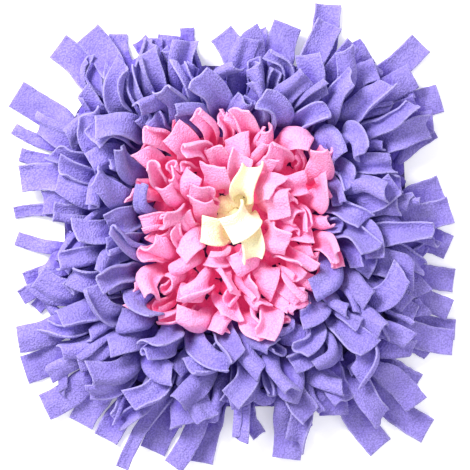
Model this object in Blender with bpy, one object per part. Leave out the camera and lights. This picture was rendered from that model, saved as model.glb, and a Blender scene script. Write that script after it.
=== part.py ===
"""Snuffle mat: fleece tails tied in square rings on a hidden base mat.

Every tail is a strip that leaves its row's band of knots gathered, opens out and leans away from the
middle. The outermost row and the tuft in the middle are placed by tables and the other rows are drawn
at random. A tail that would touch one already placed is drawn again, each time with calmer habits.

Lengths are in metres, headings and rolls in degrees. A bearing is measured clockwise from +Y, seen
from above. A heading of a profile is 0 for straight up and 90 for level.
"""

import math
from dataclasses import dataclass

import bpy
import numpy as np
from mathutils.bvhtree import BVHTree

MM = 0.001
SEED = 23

# Fleece and base.
FLEECE_THICKNESS = 2.0 * MM
STRIP_WIDTH = 25.0 * MM
BASE_SIDE = 296.0 * MM
BASE_THICKNESS = 3.0 * MM
BASE_SIDES = 48
PIECE_GAP = 0.4 * MM

# Bands of knots: a rounded square ring for each row, lying on the base.
RING_POWER = 4.2  # exponent of the rounded square, 2 for a circle
BAND_WIDTH = 10.0 * MM
BAND_HEIGHT = 4.0 * MM
BAND_SIDES = 32
ROOT_HEIGHT = BASE_THICKNESS + PIECE_GAP + 0.6 * BAND_HEIGHT

# Rows from the rim inwards. Columns: node, colour, half width, half depth and shift in Y of the ring in
# mm, number of tails drawn, their length in mm, how far a tail may turn from straight outwards, and the
# headings of a tail at five places from root to tip. The first and the last row have tables instead.
ROWS = (
    ("purple_row_1", "purple", 140, 140, 0.0, 0, 0, 0, (44, 88, 112, 96, 90)),
    ("purple_row_2", "purple", 124, 126, 2.0, 40, 62, 60, (20, 50, 78, 98, 106)),
    ("purple_row_3", "purple", 108, 112, 4.0, 40, 66, 90, (20, 44, 66, 82, 92)),
    ("purple_row_4", "purple", 93, 99, 6.0, 38, 66, 125, (13, 29, 46, 65, 80)),
    ("purple_row_5", "purple", 78, 85, 8.0, 34, 64, 150, (12, 25, 39, 58, 74)),
    ("pink_row_1", "pink", 61, 70, 10.0, 32, 60, 110, (10, 20, 34, 54, 72)),
    ("pink_row_2", "pink", 47.5, 56.5, 12.0, 26, 59, 130, (8, 15, 28, 50, 70)),
    ("pink_row_3", "pink", 35, 43, 14.0, 19, 58, 150, (5, 11, 24, 46, 68)),
    ("pink_row_4", "pink", 22.5, 30, 16.0, 12, 56, 180, (3, 9, 22, 44, 62)),
    ("cream_tuft", "cream", 10, 16, 17.0, 0, 0, 0, (2, 5, 14, 58, 92)),
)
# Places along a tail, as shares of its length: where the headings are given, and where a solid has its
# sections, in the outermost row and in the others.
HEADINGS_AT = (0.1, 0.3, 0.5, 0.7, 0.9)
RIM_STATIONS = (0.0, 0.12, 0.27, 0.47, 0.62, 1.0)
STATIONS = (0.0, 0.3, 0.55, 0.78, 1.0)

# The outermost row, clockwise from +Y. Columns: bearing of the root and of the tip, reach of the tip
# from the middle in mm, width across the tail in mm, and 1 for a tail that lies over its neighbours.
RIM_TAILS = (
    (9, 5, 178, 25, 0),
    (17, 14, 189, 25, 0),
    (23, 24, 201, 25, 1),
    (27, 21.8, 217, 25, 0),
    (34, 35.5, 198, 25, 0),
    (41, 44, 233, 23, 0),
    (45, 48, 207, 23, 1),
    (52, 56, 215, 25, 0),
    (59, 60, 198, 20, 0),
    (66, 62.5, 196, 11, 0),
    (78, 76.5, 184, 22, 0),
    (85, 83, 188, 25, 0),
    (93, 93, 186, 22, 0),
    (102, 101.5, 194, 22, 0),
    (108, 109, 197, 19, 1),
    (114, 113, 208, 18, 0),
    (119, 116, 210, 23, 0),
    (125, 121, 196, 14, 1),
    (130, 129, 204, 20, 0),
    (134, 133, 214, 22, 1),
    (137.5, 135.3, 238, 25, 0),
    (146, 145.4, 223, 25, 0),
    (152, 151, 176, 25, 1),
    (158, 160, 176, 14, 0),
    (164, 167, 198, 25, 0),
    (175, 173, 174, 14, 1),
    (185, 189, 199, 25, 0),
    (191, 195, 206, 18, 1),
    (197, 201, 200, 23, 0),
    (201, 206, 223, 12, 0),
    (210, 212.5, 209, 24, 0),
    (219, 219.5, 211, 23, 0),
    (227, 228, 222, 24, 0),
    (235, 237.5, 217, 25, 0),
    (244, 244.5, 208, 24, 1),
    (250, 250, 184, 12, 0),
    (255, 254, 193, 14, 0),
    (260, 258.5, 187, 12, 0),
    (266, 269.5, 190, 12, 0),
    (276, 276, 193, 11, 0),
    (282, 280, 168, 22, 0),
    (288, 285, 192, 25, 1),
    (293, 290.8, 200, 12, 0),
    (299, 296, 214, 10, 0),
    (304, 303, 227, 25, 0),
    (309, 310, 170, 22, 1),
    (315, 317, 226, 25, 0),
    (322, 324, 217, 25, 0),
    (328, 330, 203, 16, 1),
    (333, 334, 189, 16, 0),
    (337, 338, 184, 12, 1),
    (342, 342, 183, 20, 0),
    (347, 347, 186, 12, 0),
    (1, 356, 176, 23, 1),
)
# How a tail of the outermost row comes down past the base's edge. Columns: distance out from the root
# and height of its middle line, both in mm.
RIM_DROP = (
    (0, 5.8),
    (7, 10.6),
    (16, 9.6),
    (29, 3.6),
    (37, 1.0),
)

RIM_LAYER = 3.2 * MM  # how much higher a tail lies for each layer under it
RIM_LEVEL_STEP = 0.09  # how far in its root is for each layer, as a share of the way to the next row
RIM_SWAY = 6.0  # most that a tail's middle lies to one side, in mm
RIM_SHIFTS = (0, 1.5, -1.5, 3, -3, 4.5, -4.5)  # what is tried, in degrees round the rim
RIM_LAYERS = range(5)
RIM_CALMS = (1.0, 0.2)  # shares of its sway
RIM_BEND = (10.0, 75.0)  # least and most bend of a tail that lies on the floor

# The tuft in the middle. Columns: bearing of the root and of the way in which the tail leans, length in
# mm, what is added to the row's heading all along and at the tip, roll, bend and crease.
TUFT_TAILS = (
    (60, 252, 70, 2, -6, 0, 20, 30),
    (28, 32, 62, 4, 35, 25, 175, 0),
    (128, 185, 62, 4, 20, 10, 170, 0),
    (215, 285, 44, 2, 0, -10, 40, 30),
)
TUFT_SPREAD = 25.0  # how far its angles may stray, in degrees, before a tail fits
TUFT_SKEW = 2.5 * MM

# Notches in the outline, which only tails of the outermost row may enter. Columns: bearing of the middle
# and half width in degrees, and how far from the middle of the mat it starts, in mm.
NOTCHES = (
    (69, 6, 150),
    (127.5, 3, 186),
    (140.5, 2, 205),
    (152, 5, 172),
    (171, 4, 150),
    (182, 3, 160),
    (270, 5, 150),
    (281, 3, 158),
    (307.5, 4, 172),
    (352.5, 3, 146),
)

# How freely the tails of a colour are drawn, in degrees. Columns: spread of the roll, of the lift and of
# the curl at the tip, then of the bend, wave and crease across the tail.
HABITS = {
    "purple": (60, 14, 60, 175, 50, 85),
    "pink": (65, 14, 65, 215, 50, 90),
}
LEAST_CURL = -0.5  # share of the most curl, the other way
BEND_FAVOURS = 1.5  # above 1 when flat tails are more common than curved ones
CREASE_REACH = 0.5  # how far from the middle of a tail its crease may be, as a share of half its width
CREASE_WIDTH = 0.12  # half width of a crease, as a share of half the tail's width
MOST_SKEW = 5.0 * MM
CUT_WIDTHS = (0.88, 1.06)  # least and most width and length of a cut strip, as shares of its row's
CUT_LENGTHS = (0.8, 1.12)

# How a tail changes along its length. Places are shares of its length.
ROOT_BEND = 250.0  # how far round it is gathered at its knot
OPENS_BY = 0.42
ROOT_TURN = 0.3  # shares of its turn and roll that it already has near the root
ROOT_ROLL = 0.25
TURNS_FROM = 0.3
TURNS_OVER = 0.6
CURLS_FROM = 0.45
SLANTS_FROM = 0.7  # where the slant of its cut end sets in

# How the tails are placed.
SUBLAYERS = (0.28, -0.1, 0.1, -0.28)  # shares of the way to the next row, so that neighbours pass
# Rows and sublayers in the order in which their tails are placed: the purple ones from the rim inwards,
# then the middle, which has to stand on top, then the pink ones between them, all rows in turn.
PLACING_ORDER = (
    *((row, sublayer) for row in (1, 2, 3, 4) for sublayer in range(4)),
    (9, 0),
    *((row, sublayer) for sublayer in range(4) for row in (8, 7, 5, 6)),
)
TRIES = 240
NEAR = 90.0 * MM  # tails whose middles are farther apart can't touch
CALMEST = 0.05  # how freely the last try is drawn, against 1 for the first
STRAYS = 0.12  # how far a root may be from its place, as a share of the way to the next one
CALM_STRAYS = 1.0  # how much farther it may be as a tail is drawn more calmly
CALM_BEND = 210.0  # what the bend at its tip comes to, in degrees
CALM_STANDS = 25.0  # how much more upright it becomes, in degrees
CALM_SHORTENS = 0.35  # and how much shorter, as a share

# Principled BSDF settings. Columns: base colour and roughness.
MATERIALS = {
    "base_cloth": ((0.035, 0.03, 0.05, 1.0), 0.95),
    "purple_fleece": ((0.36, 0.3, 0.78, 1.0), 0.9),
    "pink_fleece": ((0.85, 0.24, 0.43, 1.0), 0.9),
    "cream_fleece": ((0.93, 0.82, 0.55, 1.0), 0.9),
}


@dataclass
class Tail:
    """One tail: its middle line with the turned frame along it, and the form of its cross-sections."""

    line: np.ndarray  # points of the middle line, one for each fine station
    tangent: np.ndarray
    side: np.ndarray  # unit vectors across the tail
    normal: np.ndarray  # unit vectors out of its upper face
    bend: np.ndarray  # how far the section turns from edge to edge, in radians
    wave: np.ndarray  # swing of an S-shaped section
    crease: np.ndarray  # turn of the section at its crease
    crease_at: float  # place of the crease across the tail, from -1 to 1
    skew: float  # how far the cut end slants, to each side
    strip: float  # the strip's own width
    rests: bool = False  # whether its sections stand on the middle line, or are centred on it


FINE = 31  # fine stations along a tail
ACROSS = np.linspace(-1, 1, 25)  # fine stations across a tail
SHEET_ALONG = np.linspace(0.12, 1, 9)  # where a tail's curved surface is tested
SHEET_ACROSS = np.linspace(-1, 1, 6)
OUTER_ALONG = np.linspace(0.4, 1, 9)  # where it is tested against the notches


def ring_point(bearing, half_x, half_y, shift_y):
    """The point of a rounded square at a bearing from its middle."""
    angle = np.radians(bearing)
    across = np.abs(np.sin(angle) / half_x) ** RING_POWER
    along = np.abs(np.cos(angle) / half_y) ** RING_POWER
    radius = (across + along) ** (-1 / RING_POWER)
    return np.stack([radius * np.sin(angle), radius * np.cos(angle) + shift_y], -1)


def even_bearings(count, half_x, half_y):
    """Bearings whose points on a rounded square are evenly spaced along it."""
    bearings = np.linspace(0, 360, 721)
    points = ring_point(bearings, half_x, half_y, 0.0)
    steps = np.linalg.norm(np.diff(points, axis=0), axis=1)
    travelled = np.concatenate([[0], np.cumsum(steps)])
    return np.interp(np.arange(count) / count * travelled[-1], travelled, bearings)


def smooth_step(x):
    x = np.clip(x, 0, 1)
    return x * x * (3 - 2 * x)


def frames(line, roll, ahead):
    """Unit vectors along, across and out of the upper face, the last two turned about the line by roll.

    Before that turn, the vector across is as near as it can be to level and square to ahead.
    """
    tangent = np.gradient(line, axis=0)
    tangent /= np.linalg.norm(tangent, axis=1, keepdims=True)
    side = np.cross(ahead, [0, 0, 1])
    side = side - tangent * np.sum(side * tangent, axis=1, keepdims=True)
    side /= np.linalg.norm(side, axis=1, keepdims=True)
    normal = np.cross(side, tangent)
    cos, sin = np.cos(np.radians(roll))[:, None], np.sin(np.radians(roll))[:, None]
    return tangent, side * cos + normal * sin, normal * cos - side * sin


def cross_section(strip, bend, wave, crease, crease_at, across):
    """Places across and through a tail, in metres, for one section in each row.

    The section's direction turns evenly by bend, swings by wave and turns sharply by crease. Its length
    is always the strip's full width.
    """
    turn = bend[:, None] / 2 * ACROSS
    turn = turn + wave[:, None] * np.cos(np.pi * ACROSS)
    turn = turn + crease[:, None] / 2 * np.tanh((ACROSS - crease_at) / CREASE_WIDTH)
    step = strip / 2 * (ACROSS[1] - ACROSS[0])
    x = np.cumsum(np.cos(turn) * step, axis=1)
    y = np.cumsum(np.sin(turn) * step, axis=1)
    slope = np.arctan2(y[:, -1] - y[:, 0], x[:, -1] - x[:, 0])[:, None]
    x, y = x * np.cos(slope) + y * np.sin(slope), y * np.cos(slope) - x * np.sin(slope)
    x -= (x[:, :1] + x[:, -1:]) / 2
    y -= y.mean(axis=1, keepdims=True)
    picked = [[np.interp(across, ACROSS, row) for row in values] for values in (x, y)]
    return np.array(picked[0]), np.array(picked[1])


def tail_points(tail, at, across, flat=False):
    """Points of the tail's middle surface, a row for each share of its length.

    A flat section is straight between its edges, through the middle of the curved one.
    """
    where = np.linspace(0, 1, FINE)

    def sampled(values):
        return np.column_stack([np.interp(at, where, values[:, i]) for i in range(3)])[:, None]

    form = [np.interp(at, where, values) for values in (tail.bend, tail.wave, tail.crease)]
    x, y = cross_section(tail.strip, *form, tail.crease_at, [-1, 1] if flat else across)
    if tail.rests:
        y = y - y.min(axis=1, keepdims=True)
    if flat:
        x, y = x[:, 1:] * across, 0 * x[:, 1:] * across
    end = smooth_step((np.asarray(at)[:, None] - SLANTS_FROM) / (1 - SLANTS_FROM))
    slant = tail.skew * np.asarray(across) * end
    placed = sampled(tail.line) + sampled(tail.side) * x[..., None] + sampled(tail.normal) * y[..., None]
    return placed + sampled(tail.tangent) * slant[..., None]


def opened(ends, share):
    """A value between the gathered root's and the tip's."""
    return ends[0] + (ends[1] - ends[0]) * share


def rim_tail(root_bearing, tip_bearing, reach, width, layer, sway, tip_bend):
    """A tail of the outermost row: over the base's edge, then level on the floor or on its neighbours."""
    root = ring_point(root_bearing, *ring_of(RIM_LEVEL_STEP * layer))
    angle = math.radians(tip_bearing)
    tip = reach * MM * np.array([math.sin(angle), math.cos(angle)])
    share = np.linspace(0, 1, FINE)
    far = np.linalg.norm(tip - root) * share
    out, up = np.array(RIM_DROP).T * MM
    height = np.interp(far, out, up) + RIM_LAYER * layer * smooth_step(far / out[1])
    along = (tip - root) / np.linalg.norm(tip - root)
    sideways = np.array([along[1], -along[0]]) * sway * MM * np.sin(np.pi * share)[:, None]
    line = np.column_stack([root + (tip - root) * share[:, None] + sideways, height])
    bend = np.radians(opened((ROOT_BEND, tip_bend), smooth_step(share / OPENS_BY)))
    bend = math.copysign(1, sway) * bend
    still = np.zeros(FINE)
    ahead = np.gradient(line, axis=0) * [1, 1, 0]
    return Tail(line, *frames(line, still, ahead), bend, still, still, 0.0, 0.0, width * MM, True)


def ring_of(level):
    """Half width, half depth and shift of the ring at a level, which may lie between two rows."""
    rings = np.array([row[2:5] for row in ROWS], float) * MM
    return [np.interp(level, np.arange(len(ROWS)), rings[:, i]) for i in range(3)]


def profile_of(level):
    """The headings from root to tip for a level, which may lie between two rows."""
    headings = np.array([row[8] for row in ROWS], float)
    return np.array([np.interp(level, np.arange(len(ROWS)), column) for column in headings.T])


@dataclass
class Habit:
    """What one free tail does, in degrees. Each pair is a value near the root and at the tip."""

    turn: tuple  # plan direction, from straight outwards
    lean: tuple  # added to the headings of its row
    roll: tuple
    bend: float
    wave: float
    crease: float
    crease_at: float
    skew: float
    strip: float


def outward_bearing(ring, bearing):
    """The bearing square to the ring, averaged with the bearing of the point itself."""
    ahead = ring_point(bearing + 0.5, *ring) - ring_point(bearing - 0.5, *ring)
    square = math.degrees(math.atan2(-ahead[1], ahead[0]))
    return bearing + ((square - bearing + 180) % 360 - 180) / 2


def free_tail(level, bearing, length, habit):
    """A tail that stands up from its knot, then leans or curls."""
    ring = ring_of(level)
    share = np.linspace(0, 1, FINE)
    upper = smooth_step((share - TURNS_FROM) / TURNS_OVER)
    plan = np.radians(outward_bearing(ring, bearing) + opened(habit.turn, upper))
    curled = np.clip((share - CURLS_FROM) / (1 - CURLS_FROM), 0, 1) ** 2
    heading = np.interp(share, HEADINGS_AT, profile_of(level))
    heading = np.radians(heading + habit.lean[0] * share + habit.lean[1] * curled)
    level_part = np.sin(heading)
    direction = np.column_stack([level_part * np.sin(plan), level_part * np.cos(plan), np.cos(heading)])
    moved = np.cumsum((direction[1:] + direction[:-1]) / 2 * length / (FINE - 1), axis=0)
    line = np.array([*ring_point(bearing, *ring), ROOT_HEIGHT]) + np.vstack([np.zeros(3), moved])
    open_share = smooth_step(share / OPENS_BY)
    root_bend = math.copysign(ROOT_BEND, habit.bend)
    forms = ((root_bend, habit.bend), (0, habit.wave), (0, habit.crease))
    forms = [np.radians(opened(form, open_share)) for form in forms]
    ahead = np.tile((line[-1] - line[0]) * [1, 1, 0], (FINE, 1))
    turned = frames(line, opened(habit.roll, upper), ahead)
    return Tail(line, *turned, *forms, habit.crease_at, habit.skew, habit.strip)


def drawn_habit(colour, turn, wild, draw):
    """Habits drawn at random, from calm ones at wild = 0 to the most that the colour's table gives."""
    roll, lift, curl, bend, wave, crease = HABITS[colour]
    first, last, start, end, up = draw.uniform(-1, 1, 5) * wild
    lean = lift * up - CALM_STANDS * (1 - wild), curl * wild * draw.uniform(LEAST_CURL, 1)
    tip_bend = opened((CALM_BEND, bend * draw.uniform(0, 1) ** BEND_FAVOURS), wild)
    return Habit(
        (ROOT_TURN * turn * first, turn * last),
        lean,
        (ROOT_ROLL * roll * start, roll * end),
        draw.choice((-1, 1)) * tip_bend,
        wave * draw.uniform(-1, 1),
        crease * draw.uniform(-1, 1),
        draw.uniform(-CREASE_REACH, CREASE_REACH),
        draw.uniform(-1, 1) * MOST_SKEW,
        STRIP_WIDTH * draw.uniform(*CUT_WIDTHS),
    )


def drawn_tails(k, sublayer, bearing, draw):
    """Tails for one place in a row, each drawn more calmly than the one before."""
    _, colour, _, _, _, count, length, turn, _ = ROWS[k]
    for wild in np.linspace(1, CALMEST, TRIES):
        stray = (STRAYS + CALM_STRAYS * (1 - wild)) * 360 / count
        yield free_tail(
            k - SUBLAYERS[sublayer],
            bearing + draw.uniform(-1, 1) * stray,
            length * MM * draw.uniform(*CUT_LENGTHS) * (1 - CALM_SHORTENS * (1 - wild)),
            drawn_habit(colour, turn, wild, draw),
        )


def tuft_tails(row, draw):
    """Tails for one row of the tuft's table, straying more and more from it."""
    bearing, ahead, length, lift, curl, roll, bend, crease = row
    level = len(ROWS) - 1
    for spread in np.linspace(0, TUFT_SPREAD, TRIES):
        stray = spread * draw.uniform(-1, 1, 5)
        root = bearing + stray[0]
        turn = (ahead + stray[1] - outward_bearing(ring_of(level), root) + 180) % 360 - 180
        habit = Habit(
            (ROOT_TURN * turn, turn),
            (lift + stray[2], curl),
            (0, roll + stray[3]),
            bend + stray[4],
            0.0,
            crease,
            0.0,
            TUFT_SKEW,
            STRIP_WIDTH,
        )
        yield free_tail(level, root, length * MM, habit)


def rim_tails(row, draw):
    """Tails for one row of the rim's table, on the lowest layer first."""
    root, tip, reach, width, _ = row
    sway = draw.uniform(-RIM_SWAY, RIM_SWAY)
    tip_bend = draw.uniform(*RIM_BEND)
    for shift in RIM_SHIFTS:
        for calm in RIM_CALMS:
            for layer in RIM_LAYERS:
                yield rim_tail(root + shift, tip, reach, width, layer, sway * calm, tip_bend)


def sections(tail, at, margin=0.0):
    """Corner points of the tail's four-sided sections at the given shares of its length."""
    where = np.linspace(0, 1, FINE)
    normal = np.column_stack([np.interp(at, where, tail.normal[:, i]) for i in range(3)])
    side = np.column_stack([np.interp(at, where, tail.side[:, i]) for i in range(3)])
    edges = tail_points(tail, at, np.array([-1.0, 1.0]), flat=True)
    left, right = edges[:, 0] - side * margin, edges[:, 1] + side * margin
    through = normal * (FLEECE_THICKNESS / 2 + margin)
    return np.stack([left - through, right - through, right + through, left + through], 1)


def loft_faces(count):
    """Triangles of a closed loft through count four-sided sections."""
    faces = [(2, 1, 0), (3, 2, 0)]
    for k in range(0, 4 * (count - 1), 4):
        for i in range(4):
            j = (i + 1) % 4
            faces += [(k + i, k + j, k + 4 + j), (k + i, k + 4 + j, k + 4 + i)]
    end = 4 * (count - 1)
    return faces + [(end, end + 1, end + 2), (end, end + 2, end + 3)]


def sheet_faces(rows, columns):
    index = np.arange(rows * columns).reshape(rows, columns)
    corners = index[:-1, :-1], index[:-1, 1:], index[1:, 1:], index[1:, :-1]
    return np.stack(corners, -1).reshape(-1, 4)


def solid_tree(points, faces):
    return BVHTree.FromPolygons(points.tolist(), faces)


def test_trees(tail, stations):
    """What a tail is tested as: its solid with a margin, and then that with its curved surface."""
    solid = sections(tail, stations, PIECE_GAP / 2).reshape(-1, 3)
    faces = loft_faces(len(stations))
    yield solid_tree(solid, faces)
    sheet = tail_points(tail, SHEET_ALONG, SHEET_ACROSS)
    sheet_quads = (sheet_faces(*sheet.shape[:2]) + len(solid)).tolist()
    sheet = sheet.reshape(-1, 3)
    yield solid_tree(np.concatenate([solid, sheet]), faces + sheet_quads)


def enters_notch(tail):
    """Whether a tail's middle line or either of its edges reaches into a notch."""
    points = tail_points(tail, OUTER_ALONG, np.array([-1.0, 0.0, 1.0]), flat=True).reshape(-1, 3)
    bearings = np.degrees(np.arctan2(points[:, 0], points[:, 1]))[:, None]
    reach = np.linalg.norm(points[:, :2], axis=1)[:, None]
    middle, half_width, start = np.array(NOTCHES).T
    away = np.abs((bearings - middle + 180) % 360 - 180)
    return bool(np.any((away < half_width) & (reach > start * MM)))


def place_tails():
    """All tails by row, placed one by one so that none touches another or another row's band."""
    draw = np.random.default_rng(SEED)
    bands = [solid_tree(*band_shape(ring_of(k))) for k in range(len(ROWS))]
    rows = [[] for _ in ROWS]
    placed = []

    def settle(k, stations, candidates):
        """Keeps the first candidate that touches nothing. Without one, the tail is left out."""
        other_bands = bands[:k] + bands[k + 1 :]
        for tail in candidates:
            if k > 0 and enters_notch(tail):
                continue
            middle = tail.line[FINE // 2]
            near = [other for other, at in placed if math.dist(at, middle) < NEAR]
            for tree in test_trees(tail, stations):
                if any(other.overlap(tree) for other in other_bands + near):
                    break
            else:
                rows[k].append(tail)
                placed.append((tree, middle))
                return

    for row in sorted(RIM_TAILS, key=lambda row: row[-1]):
        settle(0, RIM_STATIONS, rim_tails(row, draw))
    turned = draw.uniform(0, 360, len(ROWS))
    for k, sublayer in PLACING_ORDER:
        if k == len(ROWS) - 1:
            for row in TUFT_TAILS:
                settle(k, STATIONS, tuft_tails(row, draw))
            continue
        _, _, half_x, half_y, _, count, *_ = ROWS[k]
        bearings = even_bearings(count, half_x, half_y) + turned[k]
        for bearing in bearings[sublayer :: len(SUBLAYERS)]:
            settle(k, STATIONS, drawn_tails(k, sublayer, bearing, draw))
    return rows


def material(name):
    """A Principled BSDF material from the MATERIALS table."""
    colour, roughness = MATERIALS[name]
    made = bpy.data.materials.new(name)
    made.use_nodes = True
    shader = made.node_tree.nodes["Principled BSDF"]
    shader.inputs["Base Color"].default_value = colour
    shader.inputs["Roughness"].default_value = roughness
    made.diffuse_color = colour
    return made


def mesh_object(name, vertices, faces, collection):
    mesh = bpy.data.meshes.new(name)
    mesh.from_pydata([tuple(v) for v in vertices], [], faces)
    mesh.validate()
    obj = bpy.data.objects.new(name, mesh)
    collection.objects.link(obj)
    return obj


def ring_loop(half_x, half_y, shift_y, height, sides):
    """Points round a rounded square at one height, at the same bearings for every size."""
    points = ring_point(even_bearings(sides, 1.0, 1.0), half_x, half_y, shift_y)
    return np.column_stack([points, np.full(sides, height)])


def band_shape(ring):
    """Points and faces of one row's band of knots, a low ring."""
    half_x, half_y, shift_y = ring
    bottom = BASE_THICKNESS + PIECE_GAP
    top = bottom + BAND_HEIGHT
    half = BAND_WIDTH / 2
    corners = ((half, bottom), (half, top), (-half, top), (-half, bottom))
    loops = [ring_loop(half_x + out, half_y + out, shift_y, up, BAND_SIDES) for out, up in corners]
    faces = []
    for c in range(4):
        near, far = c * BAND_SIDES, (c + 1) % 4 * BAND_SIDES
        for i in range(BAND_SIDES):
            j = (i + 1) % BAND_SIDES
            faces.append((near + i, far + i, far + j, near + j))
    return np.concatenate(loops), faces


def tails_object(name, tails, stations, collection):
    vertices, faces = [], []
    for tail in tails:
        start = len(vertices)
        vertices.extend(sections(tail, stations).reshape(-1, 3))
        faces.extend(tuple(start + i for i in face) for face in loft_faces(len(stations)))
    return mesh_object(name, vertices, faces, collection)


def base_mat(collection):
    """The flat sheet under the tails, its outline a rounded square."""
    outline = bpy.data.curves.new("base_mat", "CURVE")
    outline.dimensions = "2D"
    outline.fill_mode = "BOTH"
    outline.extrude = BASE_THICKNESS / 2
    spline = outline.splines.new("POLY")
    points = ring_loop(BASE_SIDE / 2, BASE_SIDE / 2, 0.0, 0.0, BASE_SIDES)
    spline.points.add(len(points) - 1)
    for point, (x, y, _) in zip(spline.points, points):
        point.co = (x, y, 0, 1)
    spline.use_cyclic_u = True
    base = bpy.data.objects.new("base_mat", outline)
    base.location.z = BASE_THICKNESS / 2
    base.data.materials.append(material("base_cloth"))
    collection.objects.link(base)


def main():
    for obj in list(bpy.data.objects):
        bpy.data.objects.remove(obj)
    mat = bpy.data.collections.new("snuffle_mat")
    helpers = bpy.data.collections.new("helpers")
    bpy.context.scene.collection.children.link(mat)
    bpy.context.scene.collection.children.link(helpers)
    rows = place_tails()
    base_mat(mat)
    for k, (node, colour, *_) in enumerate(ROWS):
        band = mesh_object(node, *band_shape(ring_of(k)), mat)
        band.data.materials.append(material(colour + "_fleece"))
        tails = tails_object(node + "_tails", rows[k], STATIONS if k else RIM_STATIONS, helpers)
        tails.hide_render = True
        tails.display_type = "WIRE"
        union = band.modifiers.new("fuse_tails", "BOOLEAN")
        union.operation = "UNION"
        union.object = tails


main()
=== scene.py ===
"""The looks of the snuffle mat, laid out as an add-on: fleece tails in rows over a base mat.

Each row's tails and knots are built on the same layout as the solids: every tail is a strip that leaves
its row's band of knots gathered, opens out and leans away from the middle. The outermost row and the tuft
in the middle are placed by tables and the other rows are drawn at random. A tail that would touch one
already placed is drawn again, each time with calmer habits. Shorter tails then fill the gaps.

Lengths are in metres, headings and rolls in degrees. A bearing is measured clockwise from +Y, seen
from above. A heading of a profile is 0 for straight up and 90 for level.
"""

import math
from dataclasses import dataclass
from functools import cache

import bpy
import numpy as np
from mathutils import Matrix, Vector
from mathutils.bvhtree import BVHTree


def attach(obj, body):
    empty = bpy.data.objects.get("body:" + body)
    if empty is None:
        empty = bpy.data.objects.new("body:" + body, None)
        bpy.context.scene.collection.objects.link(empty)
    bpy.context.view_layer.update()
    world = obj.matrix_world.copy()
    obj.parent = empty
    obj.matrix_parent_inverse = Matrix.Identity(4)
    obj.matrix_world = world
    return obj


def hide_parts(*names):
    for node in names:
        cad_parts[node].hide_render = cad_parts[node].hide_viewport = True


bl_info = {
    "name": "Snuffle mat",
    "version": (1, 0, 0),
    "blender": (4, 5, 0),
    "location": "3D View > Sidebar > Snuffle mat",
    "description": "Fleece tails and knots of a snuffle mat, its base and a plain studio",
    "category": "Object",
}

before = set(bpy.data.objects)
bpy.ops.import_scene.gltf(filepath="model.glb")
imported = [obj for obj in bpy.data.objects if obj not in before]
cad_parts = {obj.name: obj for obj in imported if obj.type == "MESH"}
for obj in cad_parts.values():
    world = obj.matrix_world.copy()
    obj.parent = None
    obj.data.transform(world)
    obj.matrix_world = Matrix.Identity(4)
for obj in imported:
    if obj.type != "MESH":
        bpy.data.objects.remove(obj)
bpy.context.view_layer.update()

MM = 0.001
SEED = 23

# Fleece and base.
FLEECE_THICKNESS = 2.0 * MM
STRIP_WIDTH = 25.0 * MM
BASE_THICKNESS = 3.0 * MM
PIECE_GAP = 0.4 * MM

# Bands of knots: a rounded square ring for each row, lying on the base.
RING_POWER = 4.2  # exponent of the rounded square, 2 for a circle
BAND_WIDTH = 10.0 * MM
BAND_HEIGHT = 4.0 * MM
BAND_SIDES = 32
ROOT_HEIGHT = BASE_THICKNESS + PIECE_GAP + 0.6 * BAND_HEIGHT

# Rows from the rim inwards. Columns: node, colour, half width, half depth and shift in Y of the ring in
# mm, number of tails drawn, their length in mm, how far a tail may turn from straight outwards, and the
# headings of a tail at five places from root to tip. The first and the last row have tables instead.
ROWS = (
    ("purple_row_1", "purple", 140, 140, 0.0, 0, 0, 0, (44, 88, 112, 96, 90)),
    ("purple_row_2", "purple", 124, 126, 2.0, 40, 62, 60, (20, 50, 78, 98, 106)),
    ("purple_row_3", "purple", 108, 112, 4.0, 40, 66, 90, (20, 44, 66, 82, 92)),
    ("purple_row_4", "purple", 93, 99, 6.0, 38, 66, 125, (13, 29, 46, 65, 80)),
    ("purple_row_5", "purple", 78, 85, 8.0, 34, 64, 150, (12, 25, 39, 58, 74)),
    ("pink_row_1", "pink", 61, 70, 10.0, 32, 60, 110, (10, 20, 34, 54, 72)),
    ("pink_row_2", "pink", 47.5, 56.5, 12.0, 26, 59, 130, (8, 15, 28, 50, 70)),
    ("pink_row_3", "pink", 35, 43, 14.0, 19, 58, 150, (5, 11, 24, 46, 68)),
    ("pink_row_4", "pink", 22.5, 30, 16.0, 12, 56, 180, (3, 9, 22, 44, 62)),
    ("cream_tuft", "cream", 10, 16, 17.0, 0, 0, 0, (2, 5, 14, 58, 92)),
)
# Places along a tail, as shares of its length: where the headings are given, and where a solid has its
# sections, in the outermost row and in the others.
HEADINGS_AT = (0.1, 0.3, 0.5, 0.7, 0.9)
RIM_STATIONS = (0.0, 0.12, 0.27, 0.47, 0.62, 1.0)
STATIONS = (0.0, 0.3, 0.55, 0.78, 1.0)

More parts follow.
